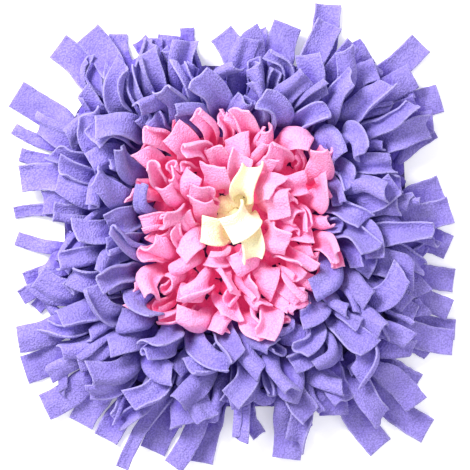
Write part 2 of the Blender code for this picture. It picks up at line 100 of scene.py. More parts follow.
# The outermost row, clockwise from +Y. Columns: bearing of the root and of the tip, reach of the tip
# from the middle in mm, width across the tail in mm, and 1 for a tail that lies over its neighbours.
RIM_TAILS = (
    (9, 5, 178, 25, 0),
    (17, 14, 189, 25, 0),
    (23, 24, 201, 25, 1),
    (27, 21.8, 217, 25, 0),
    (34, 35.5, 198, 25, 0),
    (41, 44, 233, 23, 0),
    (45, 48, 207, 23, 1),
    (52, 56, 215, 25, 0),
    (59, 60, 198, 20, 0),
    (66, 62.5, 196, 11, 0),
    (78, 76.5, 184, 22, 0),
    (85, 83, 188, 25, 0),
    (93, 93, 186, 22, 0),
    (102, 101.5, 194, 22, 0),
    (108, 109, 197, 19, 1),
    (114, 113, 208, 18, 0),
    (119, 116, 210, 23, 0),
    (125, 121, 196, 14, 1),
    (130, 129, 204, 20, 0),
    (134, 133, 214, 22, 1),
    (137.5, 135.3, 238, 25, 0),
    (146, 145.4, 223, 25, 0),
    (152, 151, 176, 25, 1),
    (158, 160, 176, 14, 0),
    (164, 167, 198, 25, 0),
    (175, 173, 174, 14, 1),
    (185, 189, 199, 25, 0),
    (191, 195, 206, 18, 1),
    (197, 201, 200, 23, 0),
    (201, 206, 223, 12, 0),
    (210, 212.5, 209, 24, 0),
    (219, 219.5, 211, 23, 0),
    (227, 228, 222, 24, 0),
    (235, 237.5, 217, 25, 0),
    (244, 244.5, 208, 24, 1),
    (250, 250, 184, 12, 0),
    (255, 254, 193, 14, 0),
    (260, 258.5, 187, 12, 0),
    (266, 269.5, 190, 12, 0),
    (276, 276, 193, 11, 0),
    (282, 280, 168, 22, 0),
    (288, 285, 192, 25, 1),
    (293, 290.8, 200, 12, 0),
    (299, 296, 214, 10, 0),
    (304, 303, 227, 25, 0),
    (309, 310, 170, 22, 1),
    (315, 317, 226, 25, 0),
    (322, 324, 217, 25, 0),
    (328, 330, 203, 16, 1),
    (333, 334, 189, 16, 0),
    (337, 338, 184, 12, 1),
    (342, 342, 183, 20, 0),
    (347, 347, 186, 12, 0),
    (1, 356, 176, 23, 1),
)
# How a tail of the outermost row comes down past the base's edge. Columns: distance out from the root
# and height of its middle line, both in mm.
RIM_DROP = (
    (0, 5.8),
    (7, 10.6),
    (16, 9.6),
    (29, 3.6),
    (37, 1.0),
)

RIM_LAYER = 3.2 * MM  # how much higher a tail lies for each layer under it
RIM_LEVEL_STEP = 0.09  # how far in its root is for each layer, as a share of the way to the next row
RIM_SWAY = 6.0  # most that a tail's middle lies to one side, in mm
RIM_SHIFTS = (0, 1.5, -1.5, 3, -3, 4.5, -4.5)  # what is tried, in degrees round the rim
RIM_LAYERS = range(5)
RIM_CALMS = (1.0, 0.2)  # shares of its sway
RIM_BEND = (10.0, 75.0)  # least and most bend of a tail that lies on the floor

# The tuft in the middle. Columns: bearing of the root and of the way in which the tail leans, length in
# mm, what is added to the row's heading all along and at the tip, roll, bend and crease.
TUFT_TAILS = (
    (60, 252, 70, 2, -6, 0, 20, 30),
    (28, 32, 62, 4, 35, 25, 175, 0),
    (128, 185, 62, 4, 20, 10, 170, 0),
    (215, 285, 44, 2, 0, -10, 40, 30),
)
TUFT_SPREAD = 25.0  # how far its angles may stray, in degrees, before a tail fits
TUFT_SKEW = 2.5 * MM

# Notches in the outline, which only tails of the outermost row may enter. Columns: bearing of the middle
# and half width in degrees, and how far from the middle of the mat it starts, in mm.
NOTCHES = (
    (69, 6, 150),
    (127.5, 3, 186),
    (140.5, 2, 205),
    (152, 5, 172),
    (171, 4, 150),
    (182, 3, 160),
    (270, 5, 150),
    (281, 3, 158),
    (307.5, 4, 172),
    (352.5, 3, 146),
)

# How freely the tails of a colour are drawn, in degrees. Columns: spread of the roll, of the lift and of
# the curl at the tip, then of the bend, wave and crease across the tail.
HABITS = {
    "purple": (60, 14, 60, 175, 50, 85),
    "pink": (65, 14, 65, 215, 50, 90),
}
LEAST_CURL = -0.5  # share of the most curl, the other way
BEND_FAVOURS = 1.5  # above 1 when flat tails are more common than curved ones
CREASE_REACH = 0.5  # how far from the middle of a tail its crease may be, as a share of half its width
CREASE_WIDTH = 0.12  # half width of a crease, as a share of half the tail's width
MOST_SKEW = 5.0 * MM
CUT_WIDTHS = (0.88, 1.06)  # least and most width and length of a cut strip, as shares of its row's
CUT_LENGTHS = (0.8, 1.12)

# How a tail changes along its length. Places are shares of its length.
ROOT_BEND = 250.0  # how far round it is gathered at its knot
OPENS_BY = 0.42
ROOT_TURN = 0.3  # shares of its turn and roll that it already has near the root
ROOT_ROLL = 0.25
TURNS_FROM = 0.3
TURNS_OVER = 0.6
CURLS_FROM = 0.45
SLANTS_FROM = 0.7  # where the slant of its cut end sets in

# How the tails are placed.
SUBLAYERS = (0.28, -0.1, 0.1, -0.28)  # shares of the way to the next row, so that neighbours pass
# Rows and sublayers in the order in which their tails are placed: the purple ones from the rim inwards,
# then the middle, which has to stand on top, then the pink ones between them, all rows in turn.
PLACING_ORDER = (
    *((row, sublayer) for row in (1, 2, 3, 4) for sublayer in range(4)),
    (9, 0),
    *((row, sublayer) for sublayer in range(4) for row in (8, 7, 5, 6)),
)
TRIES = 240
NEAR = 90.0 * MM  # tails whose middles are farther apart can't touch
CALMEST = 0.05  # how freely the last try is drawn, against 1 for the first
STRAYS = 0.12  # how far a root may be from its place, as a share of the way to the next one
CALM_STRAYS = 1.0  # how much farther it may be as a tail is drawn more calmly
CALM_BEND = 210.0  # what the bend at its tip comes to, in degrees
CALM_STANDS = 25.0  # how much more upright it becomes, in degrees
CALM_SHORTENS = 0.35  # and how much shorter, as a share


@dataclass
class Tail:
    """One tail: its middle line with the turned frame along it, and the form of its cross-sections."""

    line: np.ndarray  # points of the middle line, one for each fine station
    tangent: np.ndarray
    side: np.ndarray  # unit vectors across the tail
    normal: np.ndarray  # unit vectors out of its upper face
    bend: np.ndarray  # how far the section turns from edge to edge, in radians
    wave: np.ndarray  # swing of an S-shaped section
    crease: np.ndarray  # turn of the section at its crease
    crease_at: float  # place of the crease across the tail, from -1 to 1
    skew: float  # how far the cut end slants, to each side
    strip: float  # the strip's own width
    rests: bool = False  # whether its sections stand on the middle line, or are centred on it


FINE = 31  # fine stations along a tail
ACROSS = np.linspace(-1, 1, 25)  # fine stations across a tail
SHEET_ALONG = np.linspace(0.12, 1, 9)  # where a tail's curved surface is tested
SHEET_ACROSS = np.linspace(-1, 1, 6)
OUTER_ALONG = np.linspace(0.4, 1, 9)  # where it is tested against the notches


def ring_point(bearing, half_x, half_y, shift_y):
    """The point of a rounded square at a bearing from its middle."""
    angle = np.radians(bearing)
    across = np.abs(np.sin(angle) / half_x) ** RING_POWER
    along = np.abs(np.cos(angle) / half_y) ** RING_POWER
    radius = (across + along) ** (-1 / RING_POWER)
    return np.stack([radius * np.sin(angle), radius * np.cos(angle) + shift_y], -1)


def even_bearings(count, half_x, half_y):
    """Bearings whose points on a rounded square are evenly spaced along it."""
    bearings = np.linspace(0, 360, 721)
    points = ring_point(bearings, half_x, half_y, 0.0)
    steps = np.linalg.norm(np.diff(points, axis=0), axis=1)
    travelled = np.concatenate([[0], np.cumsum(steps)])
    return np.interp(np.arange(count) / count * travelled[-1], travelled, bearings)


def smooth_step(x):
    """0 below 0 and 1 above 1, with an S-shaped rise between them."""
    x = np.clip(x, 0, 1)
    return x * x * (3 - 2 * x)


def frames(line, roll, ahead):
    """Unit vectors along, across and out of the upper face, the last two turned about the line by roll.

    Before that turn, the vector across is as near as it can be to level and square to ahead.
    """
    tangent = np.gradient(line, axis=0)
    tangent /= np.linalg.norm(tangent, axis=1, keepdims=True)
    side = np.cross(ahead, [0, 0, 1])
    side = side - tangent * np.sum(side * tangent, axis=1, keepdims=True)
    side /= np.linalg.norm(side, axis=1, keepdims=True)
    normal = np.cross(side, tangent)
    cos, sin = np.cos(np.radians(roll))[:, None], np.sin(np.radians(roll))[:, None]
    return tangent, side * cos + normal * sin, normal * cos - side * sin


def cross_section(strip, bend, wave, crease, crease_at, across):
    """Places across and through a tail, in metres, for one section in each row.

    The section's direction turns evenly by bend, swings by wave and turns sharply by crease. Its length
    is always the strip's full width.
    """
    turn = bend[:, None] / 2 * ACROSS
    turn = turn + wave[:, None] * np.cos(np.pi * ACROSS)
    turn = turn + crease[:, None] / 2 * np.tanh((ACROSS - crease_at) / CREASE_WIDTH)
    step = strip / 2 * (ACROSS[1] - ACROSS[0])
    x = np.cumsum(np.cos(turn) * step, axis=1)
    y = np.cumsum(np.sin(turn) * step, axis=1)
    slope = np.arctan2(y[:, -1] - y[:, 0], x[:, -1] - x[:, 0])[:, None]
    x, y = x * np.cos(slope) + y * np.sin(slope), y * np.cos(slope) - x * np.sin(slope)
    x -= (x[:, :1] + x[:, -1:]) / 2
    y -= y.mean(axis=1, keepdims=True)
    picked = [[np.interp(across, ACROSS, row) for row in values] for values in (x, y)]
    return np.array(picked[0]), np.array(picked[1])


def tail_points(tail, at, across, flat=False):
    """Points of the tail's middle surface, a row for each share of its length.

    A flat section is straight between its edges, through the middle of the curved one.
    """
    where = np.linspace(0, 1, FINE)

    def sampled(values):
        return np.column_stack([np.interp(at, where, values[:, i]) for i in range(3)])[:, None]

    form = [np.interp(at, where, values) for values in (tail.bend, tail.wave, tail.crease)]
    x, y = cross_section(tail.strip, *form, tail.crease_at, [-1, 1] if flat else across)
    if tail.rests:
        y = y - y.min(axis=1, keepdims=True)
    if flat:
        x, y = x[:, 1:] * across, 0 * x[:, 1:] * across
    end = smooth_step((np.asarray(at)[:, None] - SLANTS_FROM) / (1 - SLANTS_FROM))
    slant = tail.skew * np.asarray(across) * end
    placed = sampled(tail.line) + sampled(tail.side) * x[..., None] + sampled(tail.normal) * y[..., None]
    return placed + sampled(tail.tangent) * slant[..., None]


def opened(ends, share):
    """A value between the gathered root's and the tip's."""
    return ends[0] + (ends[1] - ends[0]) * share


def rim_tail(root_bearing, tip_bearing, reach, width, layer, sway, tip_bend):
    """A tail of the outermost row: over the base's edge, then level on the floor or on its neighbours."""
    root = ring_point(root_bearing, *ring_of(RIM_LEVEL_STEP * layer))
    angle = math.radians(tip_bearing)
    tip = reach * MM * np.array([math.sin(angle), math.cos(angle)])
    share = np.linspace(0, 1, FINE)
    far = np.linalg.norm(tip - root) * share
    out, up = np.array(RIM_DROP).T * MM
    height = np.interp(far, out, up) + RIM_LAYER * layer * smooth_step(far / out[1])
    along = (tip - root) / np.linalg.norm(tip - root)
    sideways = np.array([along[1], -along[0]]) * sway * MM * np.sin(np.pi * share)[:, None]
    line = np.column_stack([root + (tip - root) * share[:, None] + sideways, height])
    bend = np.radians(opened((ROOT_BEND, tip_bend), smooth_step(share / OPENS_BY)))
    bend = math.copysign(1, sway) * bend
    still = np.zeros(FINE)
    ahead = np.gradient(line, axis=0) * [1, 1, 0]
    return Tail(line, *frames(line, still, ahead), bend, still, still, 0.0, 0.0, width * MM, True)


def ring_of(level):
    """Half width, half depth and shift of the ring at a level, which may lie between two rows."""
    rings = np.array([row[2:5] for row in ROWS], float) * MM
    return [np.interp(level, np.arange(len(ROWS)), rings[:, i]) for i in range(3)]


def profile_of(level):
    """The headings from root to tip for a level, which may lie between two rows."""
    headings = np.array([row[8] for row in ROWS], float)
    return np.array([np.interp(level, np.arange(len(ROWS)), column) for column in headings.T])


@dataclass
class Habit:
    """What one free tail does, in degrees. Each pair is a value near the root and at the tip."""

    turn: tuple  # plan direction, from straight outwards
    lean: tuple  # added to the headings of its row
    roll: tuple
    bend: float
    wave: float
    crease: float
    crease_at: float
    skew: float
    strip: float


def outward_bearing(ring, bearing):
    """The bearing square to the ring, averaged with the bearing of the point itself."""
    ahead = ring_point(bearing + 0.5, *ring) - ring_point(bearing - 0.5, *ring)
    square = math.degrees(math.atan2(-ahead[1], ahead[0]))
    return bearing + ((square - bearing + 180) % 360 - 180) / 2


def free_tail(level, bearing, length, habit):
    """A tail that stands up from its knot, then leans or curls."""
    ring = ring_of(level)
    share = np.linspace(0, 1, FINE)
    upper = smooth_step((share - TURNS_FROM) / TURNS_OVER)
    plan = np.radians(outward_bearing(ring, bearing) + opened(habit.turn, upper))
    curled = np.clip((share - CURLS_FROM) / (1 - CURLS_FROM), 0, 1) ** 2
    heading = np.interp(share, HEADINGS_AT, profile_of(level))
    heading = np.radians(heading + habit.lean[0] * share + habit.lean[1] * curled)
    level_part = np.sin(heading)
    direction = np.column_stack([level_part * np.sin(plan), level_part * np.cos(plan), np.cos(heading)])
    moved = np.cumsum((direction[1:] + direction[:-1]) / 2 * length / (FINE - 1), axis=0)
    line = np.array([*ring_point(bearing, *ring), ROOT_HEIGHT]) + np.vstack([np.zeros(3), moved])
    open_share = smooth_step(share / OPENS_BY)
    root_bend = math.copysign(ROOT_BEND, habit.bend)
    forms = ((root_bend, habit.bend), (0, habit.wave), (0, habit.crease))
    forms = [np.radians(opened(form, open_share)) for form in forms]
    ahead = np.tile((line[-1] - line[0]) * [1, 1, 0], (FINE, 1))
    turned = frames(line, opened(habit.roll, upper), ahead)
    return Tail(line, *turned, *forms, habit.crease_at, habit.skew, habit.strip)


def drawn_habit(colour, turn, wild, draw):
    """Habits drawn at random, from calm ones at wild = 0 to the most that the colour's table gives."""
    roll, lift, curl, bend, wave, crease = HABITS[colour]
    first, last, start, end, up = draw.uniform(-1, 1, 5) * wild
    lean = lift * up - CALM_STANDS * (1 - wild), curl * wild * draw.uniform(LEAST_CURL, 1)
    tip_bend = opened((CALM_BEND, bend * draw.uniform(0, 1) ** BEND_FAVOURS), wild)
    return Habit(
        (ROOT_TURN * turn * first, turn * last),
        lean,
        (ROOT_ROLL * roll * start, roll * end),
        draw.choice((-1, 1)) * tip_bend,
        wave * draw.uniform(-1, 1),
        crease * draw.uniform(-1, 1),
        draw.uniform(-CREASE_REACH, CREASE_REACH),
        draw.uniform(-1, 1) * MOST_SKEW,
        STRIP_WIDTH * draw.uniform(*CUT_WIDTHS),
    )


def drawn_tails(k, sublayer, bearing, draw):
    """Tails for one place in a row, each drawn more calmly than the one before."""
    _, colour, _, _, _, count, length, turn, _ = ROWS[k]
    for wild in np.linspace(1, CALMEST, TRIES):
        stray = (STRAYS + CALM_STRAYS * (1 - wild)) * 360 / count
        yield free_tail(
            k - SUBLAYERS[sublayer],
            bearing + draw.uniform(-1, 1) * stray,
            length * MM * draw.uniform(*CUT_LENGTHS) * (1 - CALM_SHORTENS * (1 - wild)),
            drawn_habit(colour, turn, wild, draw),
        )


def tuft_tails(row, draw):
    """Tails for one row of the tuft's table, straying more and more from it."""
    bearing, ahead, length, lift, curl, roll, bend, crease = row
    level = len(ROWS) - 1
    for spread in np.linspace(0, TUFT_SPREAD, TRIES):
        stray = spread * draw.uniform(-1, 1, 5)
        root = bearing + stray[0]
        turn = (ahead + stray[1] - outward_bearing(ring_of(level), root) + 180) % 360 - 180
        habit = Habit(
            (ROOT_TURN * turn, turn),
            (lift + stray[2], curl),
            (0, roll + stray[3]),
            bend + stray[4],
            0.0,
            crease,
            0.0,
            TUFT_SKEW,
            STRIP_WIDTH,
        )
        yield free_tail(level, root, length * MM, habit)


def rim_tails(row, draw):
    """Tails for one row of the rim's table, on the lowest layer first."""
    root, tip, reach, width, _ = row
    sway = draw.uniform(-RIM_SWAY, RIM_SWAY)
    tip_bend = draw.uniform(*RIM_BEND)
    for shift in RIM_SHIFTS:
        for calm in RIM_CALMS:
            for layer in RIM_LAYERS:
                yield rim_tail(root + shift, tip, reach, width, layer, sway * calm, tip_bend)


def sections(tail, at, margin=0.0):
    """Corner points of the tail's four-sided sections at the given shares of its length."""
    where = np.linspace(0, 1, FINE)
    normal = np.column_stack([np.interp(at, where, tail.normal[:, i]) for i in range(3)])
    side = np.column_stack([np.interp(at, where, tail.side[:, i]) for i in range(3)])
    edges = tail_points(tail, at, np.array([-1.0, 1.0]), flat=True)
    left, right = edges[:, 0] - side * margin, edges[:, 1] + side * margin
    through = normal * (FLEECE_THICKNESS / 2 + margin)
    return np.stack([left - through, right - through, right + through, left + through], 1)


def loft_faces(count):
    """Triangles of a closed loft through count four-sided sections."""
    faces = [(2, 1, 0), (3, 2, 0)]
    for k in range(0, 4 * (count - 1), 4):
        for i in range(4):
            j = (i + 1) % 4
            faces += [(k + i, k + j, k + 4 + j), (k + i, k + 4 + j, k + 4 + i)]
    end = 4 * (count - 1)
    return faces + [(end, end + 1, end + 2), (end, end + 2, end + 3)]


def sheet_faces(rows, columns):
    """Four-cornered faces of a grid of points, numbered row by row."""
    index = np.arange(rows * columns).reshape(rows, columns)
    corners = index[:-1, :-1], index[:-1, 1:], index[1:, 1:], index[1:, :-1]
    return np.stack(corners, -1).reshape(-1, 4)


def solid_tree(points, faces):
    """A tree of faces, for finding whether two bodies touch."""
    return BVHTree.FromPolygons(points.tolist(), faces)


def test_trees(tail, stations):
    """What a tail is tested as: its solid with a margin, and then that with its curved surface."""
    solid = sections(tail, stations, PIECE_GAP / 2).reshape(-1, 3)
    faces = loft_faces(len(stations))
    yield solid_tree(solid, faces)
    sheet = tail_points(tail, SHEET_ALONG, SHEET_ACROSS)
    sheet_quads = (sheet_faces(*sheet.shape[:2]) + len(solid)).tolist()
    sheet = sheet.reshape(-1, 3)
    yield solid_tree(np.concatenate([solid, sheet]), faces + sheet_quads)


def enters_notch(tail):
    """Whether a tail's middle line or either of its edges reaches into a notch."""
    points = tail_points(tail, OUTER_ALONG, np.array([-1.0, 0.0, 1.0]), flat=True).reshape(-1, 3)
    bearings = np.degrees(np.arctan2(points[:, 0], points[:, 1]))[:, None]
    reach = np.linalg.norm(points[:, :2], axis=1)[:, None]
    middle, half_width, start = np.array(NOTCHES).T
    away = np.abs((bearings - middle + 180) % 360 - 180)
    return bool(np.any((away < half_width) & (reach > start * MM)))


def tree_if_free(tail, stations, placed, bands=()):
    """The tree of a tail that touches neither a band nor a tail placed near it, or else None."""
    middle = tail.line[FINE // 2]
    near = [other for other, at in placed if math.dist(at, middle) < NEAR]
    for tree in test_trees(tail, stations):
        if any(other.overlap(tree) for other in (*bands, *near)):
            return None
    return tree


def place_tails():
    """All tails by row, placed one by one so that none touches another or another row's band."""
    draw = np.random.default_rng(SEED)
    bands = [solid_tree(*band_shape(ring_of(k))) for k in range(len(ROWS))]
    rows = [[] for _ in ROWS]
    placed = []

    def settle(k, stations, candidates):
        """Keeps the first candidate that touches nothing. Without one, the tail is left out."""
        other_bands = bands[:k] + bands[k + 1 :]
        for tail in candidates:
            if k > 0 and enters_notch(tail):
                continue
            tree = tree_if_free(tail, stations, placed, other_bands)
            if tree is not None:
                rows[k].append(tail)
                placed.append((tree, tail.line[FINE // 2]))
                return

    for row in sorted(RIM_TAILS, key=lambda row: row[-1]):
        settle(0, RIM_STATIONS, rim_tails(row, draw))
    turned = draw.uniform(0, 360, len(ROWS))
    for k, sublayer in PLACING_ORDER:
        if k == len(ROWS) - 1:
            for row in TUFT_TAILS:
                settle(k, STATIONS, tuft_tails(row, draw))
            continue
        _, _, half_x, half_y, _, count, *_ = ROWS[k]
        bearings = even_bearings(count, half_x, half_y) + turned[k]
        for bearing in bearings[sublayer :: len(SUBLAYERS)]:
            settle(k, STATIONS, drawn_tails(k, sublayer, bearing, draw))
    return rows


def ring_loop(half_x, half_y, shift_y, height, sides):
    """Points round a rounded square at one height, at the same bearings for every size."""
    points = ring_point(even_bearings(sides, 1.0, 1.0), half_x, half_y, shift_y)
    return np.column_stack([points, np.full(sides, height)])


def band_shape(ring):
    """Points and faces of one row's band of knots, a low ring."""
    half_x, half_y, shift_y = ring
    bottom = BASE_THICKNESS + PIECE_GAP
    top = bottom + BAND_HEIGHT
    half = BAND_WIDTH / 2
    corners = ((half, bottom), (half, top), (-half, top), (-half, bottom))
    loops = [ring_loop(half_x + out, half_y + out, shift_y, up, BAND_SIDES) for out, up in corners]
    faces = []
    for c in range(4):
        near, far = c * BAND_SIDES, (c + 1) % 4 * BAND_SIDES
        for i in range(BAND_SIDES):
            j = (i + 1) % BAND_SIDES
            faces.append((near + i, far + i, far + j, near + j))
    return np.concatenate(loops), faces


# How finely a tail's surface is cut. Columns lie closer to its edges, and rows to its tip, so that the
# cloth's edge can be rounded.
SURFACE_ACROSS = np.array([-1, -0.95, -0.84, -0.64, -0.43, -0.21, 0, 0.21, 0.43, 0.64, 0.84, 0.95, 1])
SURFACE_ALONG = np.array([*np.linspace(0.01, 0.96, 24), 0.988, 1])
EDGE_THICKNESS = (0.6, 0.95)  # of the full thickness, at the cut edge and at the next line in
EDGE_HIGHLIGHT_CLOSENESS = (1.0, 0.2)  # how close to the cut edge the same two lines count as being, which sets their painted highlight
RUFFLE = 0.9 * MM  # swing of a cut edge
RUFFLES = 2.3  # swings along one edge
PUCKER = 1.0 * MM  # swing of the soft dents in the face
PUCKERS = ((7.0, 2.1), (-3.0, 4.3))  # radians that their two crossed sines run through, along and across
MOST_ROLL = 2.6 * MM  # how far a cut edge rolls out of the face, either way
RESTING_ROLL = 0.3  # share of that for a tail that lies on the floor
OPENS_FROM = 0.25  # share of a tail's length where all this sets in, and over which it grows
OPENS_OVER = 0.3

# How deep in the pile a point lies, which sets how much painted shade it gets: the cells over which the
# top of the pile is taken, and how far below it a point is hidden altogether and takes the full painted
# shade.
PILE_CELL = 5.0 * MM
PILE_CELLS = 90
PILE_DEPTH = 22.0 * MM

# Knots: one closed lumpy body for each, side by side along the band.
KNOT_PITCH = 12.5 * MM
KNOT_SIZE = (7.8 * MM, 8.2 * MM, 5.4 * MM)  # half length along the band, half width, half height
KNOT_SCALES = (0.88, 1.08)  # least and most size of a knot, as a share of that
KNOT_RISE = 0.8  # height of its middle above the base, as a share of its half height
KNOT_RIDGES = 3
KNOT_RIDGE = 0.13  # how far a ridge stands out, as a share of the knot's size
KNOT_TWIST = 2.4  # how far the ridges turn for each radian of rise
KNOT_POLES = 0.97  # how far out its poles lie, as a share of its size
KNOT_TONES = (0.0, 0.4)  # the fleece's tone in a knot
KNOT_TURNS = 12  # points round a knot, and rings of them from pole to pole
KNOT_RINGS = 9
BEARING_STEPS = 360  # steps in which a band's length is measured

UV_UNIT = 10.0 * MM  # length of cloth for each unit of its UV


def surface_normals(points):
    """Unit normals of a grid of points: the cross product of its differences across and along."""
    normals = np.cross(np.gradient(points, axis=1), np.gradient(points, axis=0))
    return normals / np.linalg.norm(normals, axis=2, keepdims=True)


def edge_profile(count):
    """Share of the full thickness and closeness to the edge for each of count lines."""
    thickness = np.ones(count)
    closeness = np.zeros(count)
    thickness[[0, -1]], thickness[[1, -2]] = EDGE_THICKNESS
    closeness[[0, -1]], closeness[[1, -2]] = EDGE_HIGHLIGHT_CLOSENESS
    return thickness, closeness


def pile_top():
    """Height of the top of the pile on a square grid: the highest point in or beside a cell, smoothed."""
    points = np.concatenate([tail.line for row in all_tails() for tail in row])
    top = np.zeros((PILE_CELLS, PILE_CELLS))
    np.maximum.at(top, tuple(pile_cell(points)), points[:, 2])
    shifts = [(i, j) for i in (-1, 0, 1) for j in (-1, 0, 1)]
    top = np.max([np.roll(top, shift, (0, 1)) for shift in shifts], axis=0)
    return np.mean([np.roll(top, shift, (0, 1)) for shift in shifts], axis=0)


def pile_cell(points):
    """Row and column of the grid cell that each point lies in."""
    return np.clip(points[:, :2].T / PILE_CELL + PILE_CELLS / 2, 0, PILE_CELLS - 1).astype(int)


def depth_in_pile(points, top):
    """0 for points at the top of the pile to 1 for those hidden by it, by their height below it."""
    return smooth_step((top[tuple(pile_cell(points))] - points[:, 2]) / PILE_DEPTH)


def tail_surface(tail, draw):
    """A tail's closed surface: its middle surface moved out and in by half the thickness, with a rim.

    The middle surface is the curved section carried along the tail. Its edges swing as a sine of the
    way along and roll out of the face, both growing with the cube of the way across, and its face has
    soft dents from two crossed sines. On a tail that lies on the floor all of them only rise from it.
    Returns points, faces, and the closeness to a cut edge of each point.
    """
    points = tail_points(tail, SURFACE_ALONG, SURFACE_ACROSS)
    along = SURFACE_ALONG[:, None]
    across = SURFACE_ACROSS[None, :]
    phase = draw.uniform(0, 2 * np.pi, 4)
    rolled = MOST_ROLL * draw.uniform(-1, 1, 2) * (RESTING_ROLL if tail.rests else 1)
    opened_out = smooth_step((along - OPENS_FROM) / OPENS_OVER)
    swing = RUFFLE * np.sin(2 * np.pi * RUFFLES * along + np.where(across > 0, phase[0], phase[1]))
    dents = PUCKER
    for (run_along, run_across), start in zip(PUCKERS, phase[2:]):
        dents = dents * np.sin(run_along * along + run_across * across + start)
    swing = swing + np.where(across > 0, *rolled) * np.sin(np.pi * along) ** 0.5
    lift = swing * np.abs(across) ** 3 + dents
    lift = (np.abs(lift) if tail.rests else lift) * opened_out
    points = points + surface_normals(points) * lift[..., None]
    thick_across, edge_across = edge_profile(len(SURFACE_ACROSS))
    thick_along, edge_along = edge_profile(len(SURFACE_ALONG))
    thick_along[:2], edge_along[:2] = 1.0, 0.0
    half = np.minimum(thick_across[None, :], thick_along[:, None]) * FLEECE_THICKNESS / 2
    closeness = np.maximum(edge_across[None, :], edge_along[:, None]).ravel()
    out = surface_normals(points) * half[..., None]
    rows, columns = half.shape
    count = rows * columns
    index = np.arange(count).reshape(rows, columns)
    quads = sheet_faces(rows, columns)
    rim = np.concatenate([index[0, :], index[1:, -1], index[-1, -2::-1], index[-2:0:-1, 0]])
    ahead = np.roll(rim, -1)
    faces = [quads[:, ::-1], quads + count, np.stack([rim, ahead, ahead + count, rim + count], -1)]
    both = np.concatenate([(points + out).reshape(-1, 3), (points - out).reshape(-1, 3)])
    return both, np.concatenate(faces), np.tile(closeness, 2)


def tail_uv(tail):
    """Place on the flat strip of each point of a tail's surface, in UV_UNITs, for both faces."""
    length = np.linalg.norm(np.diff(tail.line, axis=0), axis=1).sum()
    u, v = np.meshgrid(SURFACE_ACROSS * tail.strip / 2, SURFACE_ALONG * length)
    return np.tile(np.column_stack([u.ravel(), v.ravel()]) / UV_UNIT, (2, 1))


def knot_surface(middle, ahead, draw):
    """A knot: an ellipsoid with rounded ridges that wind round it, closed at its two poles.

    A point is the ellipsoid's, moved out by the cosine of its turn times the number of ridges plus its
    rise times their twist. The ridges fade towards the poles.
    """
    turn, rise = np.meshgrid(
        np.arange(KNOT_TURNS) / KNOT_TURNS * 2 * np.pi,
        (np.arange(KNOT_RINGS) + 0.5) / KNOT_RINGS * np.pi - np.pi / 2,
    )
    phase = draw.uniform(0, 2 * np.pi)
    size = draw.uniform(*KNOT_SCALES)
    ridge = 1 + KNOT_RIDGE * np.cos(KNOT_RIDGES * turn + KNOT_TWIST * rise + phase) * np.cos(rise)
    local = np.stack([np.cos(rise) * np.cos(turn), np.cos(rise) * np.sin(turn), np.sin(rise)], -1)
    local = (local * (ridge * size)[..., None]).reshape(-1, 3)
    poles = [[0, 0, -KNOT_POLES * size], [0, 0, KNOT_POLES * size]]
    local = np.concatenate([local, poles]) * KNOT_SIZE
    aside = np.array([-ahead[1], ahead[0]])
    plan = middle[:2] + local[:, :1] * ahead + local[:, 1:2] * aside
    points = np.column_stack([plan, middle[2] + local[:, 2]])
    index = np.arange(KNOT_TURNS * KNOT_RINGS).reshape(KNOT_RINGS, KNOT_TURNS)
    near, far = index[:-1], index[1:]
    quads = np.stack([near, np.roll(near, -1, 1), np.roll(far, -1, 1), far], -1).reshape(-1, 4)
    low, high = len(points) - 2, len(points) - 1
    bottom = np.stack([np.roll(index[0], -1), index[0], np.full(KNOT_TURNS, low)], -1)
    top = np.stack([index[-1], np.roll(index[-1], -1), np.full(KNOT_TURNS, high)], -1)
    return points, quads, np.concatenate([bottom, top])


def joined_mesh(name, parts):
    """One mesh of many: parts are (points, face arrays, attributes), the attributes by name per point."""
    mesh = bpy.data.meshes.new(name)
    starts = np.concatenate([[0], np.cumsum([len(points) for points, _, _ in parts])])
    faces = [array + start for (_, arrays, _), start in zip(parts, starts) for array in arrays]
    points = np.concatenate([points for points, _, _ in parts])
    mesh.from_pydata(points.tolist(), [], [face for array in faces for face in array.tolist()])
    for key in parts[0][2]:
        values = np.concatenate([attributes[key] for _, _, attributes in parts])
        layer = mesh.attributes.new(key, "FLOAT", "POINT")
        layer.data.foreach_set("value", values.astype(np.float32))
    mesh.shade_smooth()
    return mesh


def add_uv(mesh, uv):
    """Writes a UV for each face corner from one for each point."""
    corners = np.empty(len(mesh.loops), np.int32)
    mesh.loops.foreach_get("vertex_index", corners)
    layer = mesh.uv_layers.new(name="strip")
    layer.data.foreach_set("uv", uv[corners].astype(np.float32).ravel())


def add_piece(name, mesh, material):
    """Links a mesh as a piece of the mat, riding on its one body."""
    mesh.materials.append(material)
    piece = bpy.data.objects.new(name, mesh)
    bpy.context.scene.collection.objects.link(piece)
    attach(piece, "root")
    return piece


